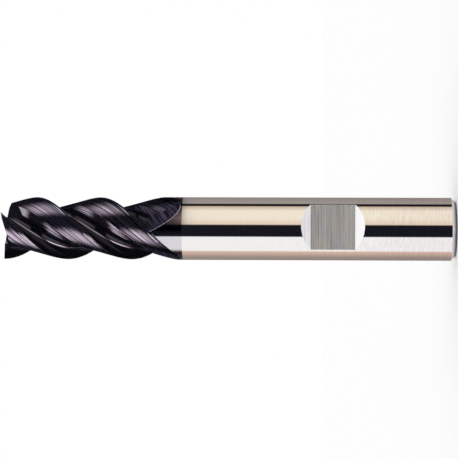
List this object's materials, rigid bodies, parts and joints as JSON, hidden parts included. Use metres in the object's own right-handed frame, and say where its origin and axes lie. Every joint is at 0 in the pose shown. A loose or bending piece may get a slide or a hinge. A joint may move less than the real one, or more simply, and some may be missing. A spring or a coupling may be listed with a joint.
{
  "type": "end mill",
  "caption": "Solid carbide square end mill with helical flutes, a dark coated cutting head and a bright round shank with a side-lock clamping flat.",
  "frame": {"origin": "centre of the shank's end face, on the tool's axis", "axes": "+Z along the axis from the shank end towards the cutting end; the clamping flat faces close to -Y"},
  "size_m": [0.01, 0.01, 0.072],
  "materials": {
    "end_mill": "polished shank, dark coated head"
  },
  "bodies": {
    "root": {"end_mill": "end_mill"}
  },
  "joints": []
}
